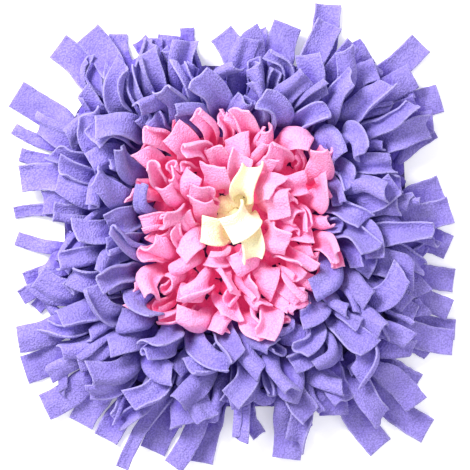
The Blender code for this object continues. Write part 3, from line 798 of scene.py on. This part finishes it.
class Nodes:
    """A material's node tree, with short ways to add and join nodes."""

    def __init__(self, name):
        self.material = bpy.data.materials.new(name)
        self.material.use_nodes = True
        self.tree = self.material.node_tree
        self.shader = self.tree.nodes["Principled BSDF"]

    def add(self, kind, **settings):
        """A node with the given settings."""
        node = self.tree.nodes.new(kind)
        for key, value in settings.items():
            setattr(node, key, value)
        return node

    def join(self, source, target):
        """A link from one socket to another."""
        self.tree.links.new(source, target)

    def texture(self, kind, vector, scale, **settings):
        """A texture node on the given coordinates."""
        node = self.add(kind, **settings)
        node.inputs["Scale"].default_value = scale
        self.join(vector, node.inputs["Vector"])
        return node

    def spread(self, value, low, high, to_low, to_high):
        """Maps a value from one range to another, held at its ends."""
        node = self.add("ShaderNodeMapRange")
        self.feed(node, {0: value, 1: low, 2: high, 3: to_low, 4: to_high})
        return node.outputs["Result"]

    def mix(self, factor, first, second):
        """Mixes two colours; each is a socket or four numbers."""
        node = self.add("ShaderNodeMix", data_type="RGBA")
        self.feed(node, {0: factor, 6: first, 7: second})
        return node.outputs[2]

    def math(self, operation, first, second):
        """One sum on two values; each is a socket or a number."""
        node = self.add("ShaderNodeMath", operation=operation)
        self.feed(node, {0: first, 1: second})
        return node.outputs[0]

    def feed(self, node, values):
        """Gives a node's inputs, by their number, a value or another node's output."""
        for number, value in values.items():
            if isinstance(value, bpy.types.NodeSocket):
                self.join(value, node.inputs[number])
            else:
                node.inputs[number].default_value = value

    def relief(self, height, strength, distance):
        """Raises and lowers the shaded surface by a height."""
        bump = self.add("ShaderNodeBump")
        bump.inputs["Strength"].default_value = strength
        bump.inputs["Distance"].default_value = distance
        self.join(height, bump.inputs["Height"])
        self.join(bump.outputs["Normal"], self.shader.inputs["Normal"])


def shaded(colour, factor):
    """A colour with its red, green and blue scaled."""
    return (*(min(1.0, channel * factor) for channel in colour[:3]), 1.0)


def paler(colour, share):
    """A colour part of the way to white."""
    return (*(channel + (1 - channel) * share for channel in colour[:3]), 1.0)


# Painted light of each fleece: the painted shade deep in the pile, a darker colour that stands in for
# light that has passed from tail to tail, a faint painted glow that stands in for the light that soaks
# through the thin cloth, and how much of the nap's painted shade is seen on it. Columns: painted shade
# colour, glow's colour and strength, and share of the nap's contrast.
FLEECES = {
    "purple_fleece": ((0.09, 0.05, 0.42), (0.12, 0.07, 0.5), 0.03, 1.0),
    "pink_fleece": ((0.85, 0.03, 0.16), (1.0, 0.08, 0.38), 0.14, 0.8),
    "cream_fleece": ((1.0, 0.88, 0.58), (1.0, 0.88, 0.55), 0.14, 0.3),
}
TONES = (0.88, 1.1)  # shades of the darkest and the palest tail, as shares of the fleece's colour
FUZZ = 1.5  # how much finer the fuzz on the pebbles is than they are
FUZZ_HEIGHT = 0.6  # and how high it stands, against theirs
NAP_DEPTH = 1.0 * MM
NAP_SHADE = (-0.4, 0.0, 0.45)  # heights at which the nap's painted shade is darkest and palest, and its darkest shade
BRUSHED_PATCHES = 70.0  # in one metre
BRUSHED_RANGE = (0.35, 0.7)  # of the patches' noise, from plain cloth to the palest
BRUSHED_PALENESS = 0.35  # how far towards white the palest fleece is there, and at a cut edge as a painted highlight
EDGE_HIGHLIGHT_PALENESS = 0.65


def fleece_material(name, colour, settings):
    """Polar fleece: a pebbled nap, soft blotches where it is brushed, and painted light.
    Painted shade darkens the nap's hollows and the points deep in the pile, paler cut edges are a painted
    highlight, and a faint painted glow stands in for light soaking through the cloth.
    """
    painted_shade_colour, glow, glow_strength, nap_share = FLEECES[name]
    nodes = Nodes(name)
    place = nodes.add("ShaderNodeTexCoord").outputs["Object"]
    tail = nodes.add("ShaderNodeAttribute", attribute_name="tone").outputs["Fac"]
    edge = nodes.add("ShaderNodeAttribute", attribute_name="edge").outputs["Fac"]
    deep = nodes.add("ShaderNodeAttribute", attribute_name="deep").outputs["Fac"]
    fuzz = nodes.texture("ShaderNodeTexNoise", place, FUZZ / settings.nap_size)
    fuzz.inputs["Detail"].default_value = 3.0
    fuzz.inputs["Roughness"].default_value = 0.6
    pebbles = nodes.texture("ShaderNodeTexVoronoi", place, 1 / settings.nap_size, feature="SMOOTH_F1")
    pebbles.inputs["Smoothness"].default_value = 0.25
    patches = nodes.texture("ShaderNodeTexNoise", place, BRUSHED_PATCHES)
    fuzz_height = nodes.math("MULTIPLY", fuzz.outputs["Fac"], FUZZ_HEIGHT)
    height = nodes.math("SUBTRACT", fuzz_height, pebbles.outputs["Distance"])
    lowest, highest, darkest = NAP_SHADE
    # Painted shade: the nap is painted darker in the hollows between its pebbles.
    between = nodes.spread(height, lowest, highest, settings.nap_hollow_shade * nap_share, 0)
    brushed = nodes.spread(patches.outputs["Fac"], *BRUSHED_RANGE, 0, settings.blotches)
    # Painted highlight: the cut edges are painted paler.
    cut = nodes.math("MULTIPLY", edge, settings.edge_highlight)
    # Painted shade: points deep in the pile are mixed towards a darker colour.
    hidden = nodes.math("MULTIPLY", deep, settings.painted_shade_strength)
    body = nodes.mix(tail, *(shaded(colour, tone) for tone in TONES))
    body = nodes.mix(brushed, body, paler(colour, BRUSHED_PALENESS))
    body = nodes.mix(between, body, shaded(colour, darkest))
    body = nodes.mix(cut, body, paler(colour, EDGE_HIGHLIGHT_PALENESS))
    body = nodes.mix(hidden, body, (*painted_shade_colour, 1.0))
    nodes.join(body, nodes.shader.inputs["Base Color"])
    nodes.relief(height, settings.nap_strength, NAP_DEPTH)
    # Painted glow: a faint emission that stands in for light soaking through the thin cloth.
    nodes.shader.inputs["Emission Color"].default_value = (*glow, 1.0)
    nodes.shader.inputs["Emission Strength"].default_value = glow_strength
    nodes.shader.inputs["Roughness"].default_value = 0.95
    nodes.shader.inputs["Specular IOR Level"].default_value = 0.15
    nodes.shader.inputs["Sheen Weight"].default_value = 0.35
    nodes.shader.inputs["Sheen Roughness"].default_value = 0.45
    nodes.shader.inputs["Sheen Tint"].default_value = paler(colour, 0.5)
    return nodes.material


FIBRES = 900.0  # in one metre of the base's felt, and the matted tufts of them
MATTED_TUFTS = 120.0
FIBRE_RANGE = (0.35, 0.7)  # of their noise, from the lowest fibre to the highest
TUFT_RANGE = (0.4, 0.7)  # of theirs, from plain felt to a tuft
FIBRE_SHADES = (0.6, 1.7)  # shades of the lowest and the highest fibre, as shares of the felt's colour: painted shade and painted light
TUFT_SHADE = 2.2
TUFT_SHARE = 0.4  # how much of that shade a tuft takes
FELT_RELIEF = 0.5
FELT_DEPTH = 0.5 * MM


def felt_material(colour):
    """Needled felt: matted fibres in two sizes, with painted shade on the lowest fibres and painted light
    on the highest.
    """
    nodes = Nodes("base_cloth")
    place = nodes.add("ShaderNodeTexCoord").outputs["Object"]
    fibres = nodes.texture("ShaderNodeTexNoise", place, FIBRES)
    fibres.inputs["Detail"].default_value = 5.0
    fibres.inputs["Distortion"].default_value = 1.5
    tufts = nodes.texture("ShaderNodeTexNoise", place, MATTED_TUFTS)
    raised = nodes.spread(fibres.outputs["Fac"], *FIBRE_RANGE, 0, 1)
    matted = nodes.spread(tufts.outputs["Fac"], *TUFT_RANGE, 0, TUFT_SHARE)
    # Painted shade and light: lower fibres darker, higher ones paler, following the felt's relief.
    body = nodes.mix(raised, *(shaded(colour, shade) for shade in FIBRE_SHADES))
    body = nodes.mix(matted, body, shaded(colour, TUFT_SHADE))
    nodes.join(body, nodes.shader.inputs["Base Color"])
    nodes.relief(fibres.outputs["Fac"], FELT_RELIEF, FELT_DEPTH)
    nodes.shader.inputs["Roughness"].default_value = 0.97
    return nodes.material


def build_rows(colour_name, settings):
    """Tails and knots of every row of one colour, in place of the rows' solids."""
    slot = colour_name + "_fleece"
    material = fleece_material(slot, getattr(settings, colour_name), settings)
    top = pile_top()
    for k, (node, colour, *_) in enumerate(ROWS):
        if colour != colour_name:
            continue
        draw = np.random.default_rng(SEED + 1 + k)
        tails = all_tails()[k]
        parts = []
        for tail in tails:
            points, faces, closeness = tail_surface(tail, draw)
            tone = np.full(len(points), draw.uniform(0, 1))
            # Painted shade: how far below the pile's top each point lies sets how much darker it is
            # painted.
            deep = depth_in_pile(points, top)
            parts.append((points, [faces], {"edge": closeness, "tone": tone, "deep": deep}))
        mesh = joined_mesh(node + "_tails", parts)
        add_uv(mesh, np.concatenate([tail_uv(tail) for tail in tails]))
        cloth = add_piece(node + "_tails", mesh, material)
        knots = add_piece(node + "_knots", knots_mesh(node + "_knots", k, draw), material)
        for piece in (cloth, knots):
            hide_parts(node)
        length = sum(np.linalg.norm(np.diff(tail.line, axis=0), axis=1).sum() for tail in tails)
        width = np.mean([tail.strip for tail in tails])


def knots_mesh(name, k, draw):
    """The knots of row k, evenly spaced along the middle of its band, and in the tuft's own middle."""
    ring = ring_of(k)
    half_x, half_y, _ = ring
    loop = ring_point(np.linspace(0, 360, BEARING_STEPS + 1), *ring)
    count = max(3, round(np.linalg.norm(np.diff(loop, axis=0), axis=1).sum() / KNOT_PITCH))
    bearings = even_bearings(count, half_x, half_y)
    places = [ring_point(bearing, *ring) for bearing in bearings]
    if k == len(ROWS) - 1:
        places.append(np.mean(places, axis=0))
    parts = []
    for place, nearby in zip(places, places[1:] + places[:1]):
        ahead = nearby - place
        middle = np.array([*place, BASE_THICKNESS + KNOT_RISE * KNOT_SIZE[2]])
        points, quads, caps = knot_surface(middle, ahead / np.linalg.norm(ahead), draw)
        zero = np.zeros(len(points))
        tone = zero + draw.uniform(*KNOT_TONES)
        # The knots lie under the tails and are painted with the full shade of the pile's depth.
        parts.append((points, [quads, caps], {"edge": zero, "tone": tone, "deep": zero + 1}))
    return joined_mesh(name, parts)


# Short tails that fill the gaps between the rows' own. Each pair is the least and the most.
FILL_SEED = SEED + 100
FILL_LENGTH = (0.6, 0.85)  # share of the row's length
FILL_STRIP = (0.5, 0.8)  # share of a strip's width
FILL_ROOT = (0.2, 0.8)  # share of the way to the next row out
FILL_STRAY = (-0.5, 0.5)  # how far its root may be from its place, as a share of the row's spacing
FILL_WILD = (0.4, 1.0)  # how freely it is drawn
FILL_TURN = 180.0
FILL_TRIES = 55
FILLS_PER_TAIL = 1.5


def fill_tails(rows):
    """Adds short tails to the rows, rooted between a row and the next one out, wherever one fits."""
    draw = np.random.default_rng(FILL_SEED)
    placed = []
    for tail in (tail for row in rows for tail in row):
        *_, tree = test_trees(tail, RIM_STATIONS if tail.rests else STATIONS)
        placed.append((tree, tail.line[FINE // 2]))
    for k, (_, colour, half_x, half_y, _, count, length, *_) in enumerate(ROWS):
        for bearing in even_bearings(round(count * FILLS_PER_TAIL), half_x, half_y):
            for _ in range(FILL_TRIES):
                level = k - draw.uniform(*FILL_ROOT)
                habit = drawn_habit(colour, FILL_TURN, draw.uniform(*FILL_WILD), draw)
                habit.strip *= draw.uniform(*FILL_STRIP)
                size = length * MM * draw.uniform(*FILL_LENGTH)
                root = bearing + draw.uniform(*FILL_STRAY) * 360 / count
                tail = free_tail(level, root, size, habit)
                tree = None if enters_notch(tail) else tree_if_free(tail, STATIONS, placed)
                if tree is not None:
                    rows[k].append(tail)
                    placed.append((tree, tail.line[FINE // 2]))
                    break
    return rows


@cache
def all_tails():
    """The tails of all rows and those that fill their gaps."""
    return fill_tails(place_tails())


class SnuffleMatSettings(bpy.types.PropertyGroup):
    """Sizes and colours that a user would change."""

    purple: bpy.props.FloatVectorProperty(
        name="Purple fleece", description="Colour of the wide border", subtype="COLOR", size=3,
        min=0, max=1, default=(0.29, 0.23, 0.70),
    )
    pink: bpy.props.FloatVectorProperty(
        name="Pink fleece", description="Colour of the rows inside the border", subtype="COLOR", size=3,
        min=0, max=1, default=(1.0, 0.37, 0.67),
    )
    cream: bpy.props.FloatVectorProperty(
        name="Cream fleece", description="Colour of the tuft in the middle", subtype="COLOR", size=3,
        min=0, max=1, default=(1.0, 0.93, 0.62),
    )
    base: bpy.props.FloatVectorProperty(
        name="Base", description="Colour of the base mat's felt", subtype="COLOR", size=3,
        min=0, max=1, default=(0.07, 0.05, 0.17),
    )
    nap_size: bpy.props.FloatProperty(
        name="Nap", description="Size of the pebbles of the fleece's nap", subtype="DISTANCE",
        unit="LENGTH", min=0.0003, max=0.01, default=0.0016,
    )
    nap_strength: bpy.props.FloatProperty(
        name="Nap relief", description="How deep the nap looks", subtype="FACTOR",
        min=0, max=1, default=0.9,
    )
    # Painted shade in the nap's hollows between its pebbles.
    nap_hollow_shade: bpy.props.FloatProperty(
        name="Nap contrast", description="How much darker the nap is between its pebbles",
        subtype="FACTOR", min=0, max=1, default=0.5,
    )
    blotches: bpy.props.FloatProperty(
        name="Brushed blotches", description="How much paler the fleece is where it is brushed up",
        subtype="FACTOR", min=0, max=1, default=0.18,
    )
    # Painted highlight: how much paler the cut edges are painted.
    edge_highlight: bpy.props.FloatProperty(
        name="Pale edges", description="How much paler the cut edges are", subtype="FACTOR",
        min=0, max=1, default=0.18,
    )
    # Painted shade: how strongly the points deep between the tails are painted darker.
    painted_shade_strength: bpy.props.FloatProperty(
        name="Depth", description="How much deeper the colour is down between the tails", subtype="FACTOR",
        min=0, max=1, default=0.75,
    )
    floor: bpy.props.FloatVectorProperty(
        name="Floor", description="Colour of the studio floor", subtype="COLOR", size=3,
        min=0, max=1, default=(0.97, 0.97, 0.98),
    )
    camera_height: bpy.props.FloatProperty(
        name="Camera height", description="Height of the camera above the floor", subtype="DISTANCE",
        unit="LENGTH", min=0.5, max=10, default=2.0,
    )
    seen_width: bpy.props.FloatProperty(
        name="Seen width", description="Width of floor that the camera sees", subtype="DISTANCE",
        unit="LENGTH", min=0.1, max=5, default=0.409,
    )


class MAT_OT_purple_rows(bpy.types.Operator):
    """Build the tails and knots of the purple rows"""

    bl_idname = "snuffle_mat.purple_rows"
    bl_label = "Purple rows"

    def execute(self, context):
        build_rows("purple", context.scene.snuffle_mat)
        return {"FINISHED"}


class MAT_OT_pink_rows(bpy.types.Operator):
    """Build the tails and knots of the pink rows"""

    bl_idname = "snuffle_mat.pink_rows"
    bl_label = "Pink rows"

    def execute(self, context):
        build_rows("pink", context.scene.snuffle_mat)
        return {"FINISHED"}


class MAT_OT_cream_tuft(bpy.types.Operator):
    """Build the tails and knots of the cream tuft"""

    bl_idname = "snuffle_mat.cream_tuft"
    bl_label = "Cream tuft"

    def execute(self, context):
        build_rows("cream", context.scene.snuffle_mat)
        return {"FINISHED"}


class MAT_OT_base_mat(bpy.types.Operator):
    """Give the base mat its felt"""

    bl_idname = "snuffle_mat.base_mat"
    bl_label = "Base mat"

    def execute(self, context):
        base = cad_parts["base_mat"]
        base.data.materials.clear()
        base.data.materials.append(felt_material(context.scene.snuffle_mat.base))
        return {"FINISHED"}


class MAT_OT_stage(bpy.types.Operator):
    """Add the floor, the lights and the camera"""

    bl_idname = "snuffle_mat.stage"
    bl_label = "Stage"

    def execute(self, context):
        settings = context.scene.snuffle_mat
        build_floor(settings)
        for light in LIGHTS:
            add_light(*light)
        build_world()
        add_camera(settings)
        context.scene.view_settings.view_transform = "Standard"
        return {"FINISHED"}


# Area lights. Columns: name, place, size in metres, power in watts and colour.
LIGHTS = (
    ("key_light", (-0.9, 0.9, 1.3), 0.7, 52.0, (1.0, 0.99, 0.97)),
    ("fill_light", (0.8, -0.5, 1.2), 1.2, 5.0, (0.97, 0.98, 1.0)),
)
WORLD_STRENGTH = 0.7
# The floor glows faintly, as a lit table does, so that the shadows on it stay pale.
FLOOR_GLOW = 0.3
FLOOR_REACH = 3.0  # from the middle to a side
CAMERA_AT = (0.0, 0.001)  # where it hangs over the mat


def build_floor(settings):
    """A plain pale floor."""
    corners = [(x * FLOOR_REACH, y * FLOOR_REACH, 0) for x, y in ((-1, -1), (1, -1), (1, 1), (-1, 1))]
    mesh = bpy.data.meshes.new("floor")
    mesh.from_pydata(corners, [], [(0, 1, 2, 3)])
    nodes = Nodes("floor")
    nodes.shader.inputs["Base Color"].default_value = (*settings.floor, 1.0)
    nodes.shader.inputs["Emission Color"].default_value = (1.0, 1.0, 1.0, 1.0)
    nodes.shader.inputs["Emission Strength"].default_value = FLOOR_GLOW
    nodes.shader.inputs["Roughness"].default_value = 0.9
    mesh.materials.append(nodes.material)
    floor = bpy.data.objects.new("floor", mesh)
    bpy.context.scene.collection.objects.link(floor)


def add_light(name, place, size, power, colour):
    """An area light that faces the mat."""
    light = bpy.data.lights.new(name, "AREA")
    light.size = size
    light.energy = power
    light.color = colour
    holder = bpy.data.objects.new(name, light)
    holder.location = place
    holder.rotation_euler = (-Vector(place)).to_track_quat("-Z", "Y").to_euler()
    bpy.context.scene.collection.objects.link(holder)


def build_world():
    """An even white surround."""
    world = bpy.data.worlds.new("studio")
    world.use_nodes = True
    background = world.node_tree.nodes["Background"]
    background.inputs["Color"].default_value = (1.0, 1.0, 1.0, 1.0)
    background.inputs["Strength"].default_value = WORLD_STRENGTH
    bpy.context.scene.world = world


def add_camera(settings):
    """A camera straight above the mat, with a long lens."""
    camera = bpy.data.cameras.new("camera")
    camera.lens = camera.sensor_width * settings.camera_height / settings.seen_width
    holder = bpy.data.objects.new("camera", camera)
    holder.location = (*CAMERA_AT, settings.camera_height)
    bpy.context.scene.collection.objects.link(holder)
    bpy.context.scene.camera = holder


class MAT_PT_panel(bpy.types.Panel):
    """Settings and steps of the snuffle mat"""

    bl_label = "Snuffle mat"
    bl_idname = "MAT_PT_panel"
    bl_space_type = "VIEW_3D"
    bl_region_type = "UI"
    bl_category = "Snuffle mat"

    def draw(self, context):
        for key in SnuffleMatSettings.__annotations__:
            self.layout.prop(context.scene.snuffle_mat, key)
        for operator in OPERATORS:
            self.layout.operator(operator.bl_idname)


OPERATORS = (MAT_OT_base_mat, MAT_OT_purple_rows, MAT_OT_pink_rows, MAT_OT_cream_tuft, MAT_OT_stage)
CLASSES = (SnuffleMatSettings, *OPERATORS, MAT_PT_panel)


def register():
    """Adds the settings, the operators and the panel."""
    for one in CLASSES:
        bpy.utils.register_class(one)
    bpy.types.Scene.snuffle_mat = bpy.props.PointerProperty(type=SnuffleMatSettings)


def unregister():
    """Takes them away again."""
    del bpy.types.Scene.snuffle_mat
    for one in reversed(CLASSES):
        bpy.utils.unregister_class(one)


def main():
    """Builds the whole scene."""
    register()
    bpy.ops.snuffle_mat.base_mat()
    bpy.ops.snuffle_mat.purple_rows()
    bpy.ops.snuffle_mat.pink_rows()
    bpy.ops.snuffle_mat.cream_tuft()
    bpy.ops.snuffle_mat.stage()


if __name__ == "__main__":
    main()
